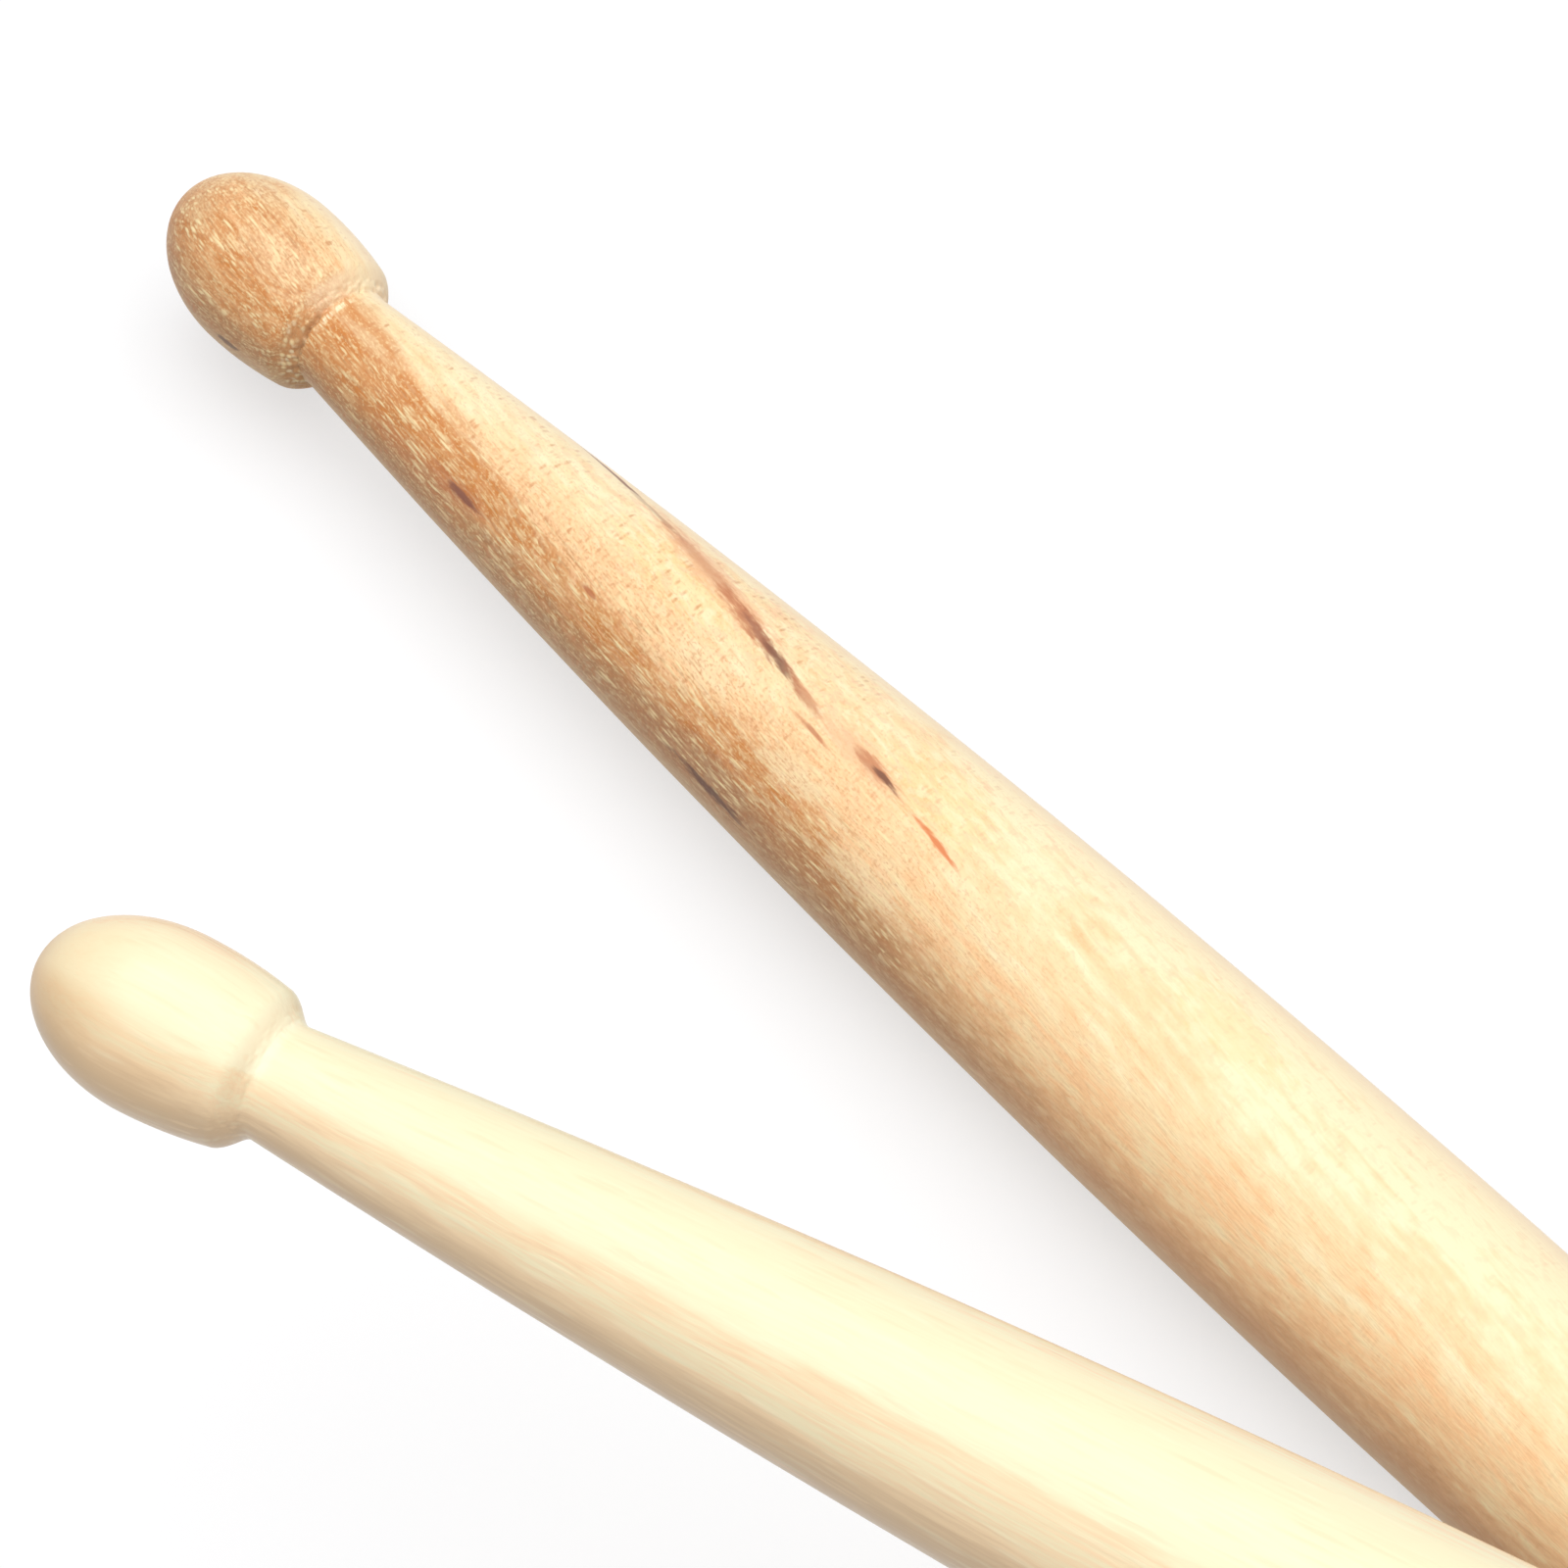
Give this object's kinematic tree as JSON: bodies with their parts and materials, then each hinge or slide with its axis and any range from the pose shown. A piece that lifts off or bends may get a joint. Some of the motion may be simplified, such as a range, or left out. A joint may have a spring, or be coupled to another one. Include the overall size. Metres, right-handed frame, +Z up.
{
  "type": "drumsticks",
  "caption": "Turned wooden drumsticks with oval tips, slim necks, long tapering shoulders and rounded butts, one lying across the other, for striking drums.",
  "frame": {"origin": "middle of the footprint of the crossed sticks, on the floor that they lie on", "axes": "+X along the pair, from the tips towards the butts; +Z up from the floor; +Y across the pair, towards the tip of the stick that lies underneath"},
  "size_m": [0.4448, 0.0896, 0.0358],
  "materials": {
    "tan_wood": "satin lacquer over tan flecked wood",
    "pale_wood": "satin lacquer over pale straight-grained wood"
  },
  "bodies": {
    "under": {"under_stick": "tan_wood"},
    "over": {"over_stick": "pale_wood"}
  },
  "joints": [
    {"name": "over_stick_lift", "type": "slide", "parent": "under", "child": "over", "axis": [0, 0, 1], "range_m": [0, 0.06]}
  ]
}
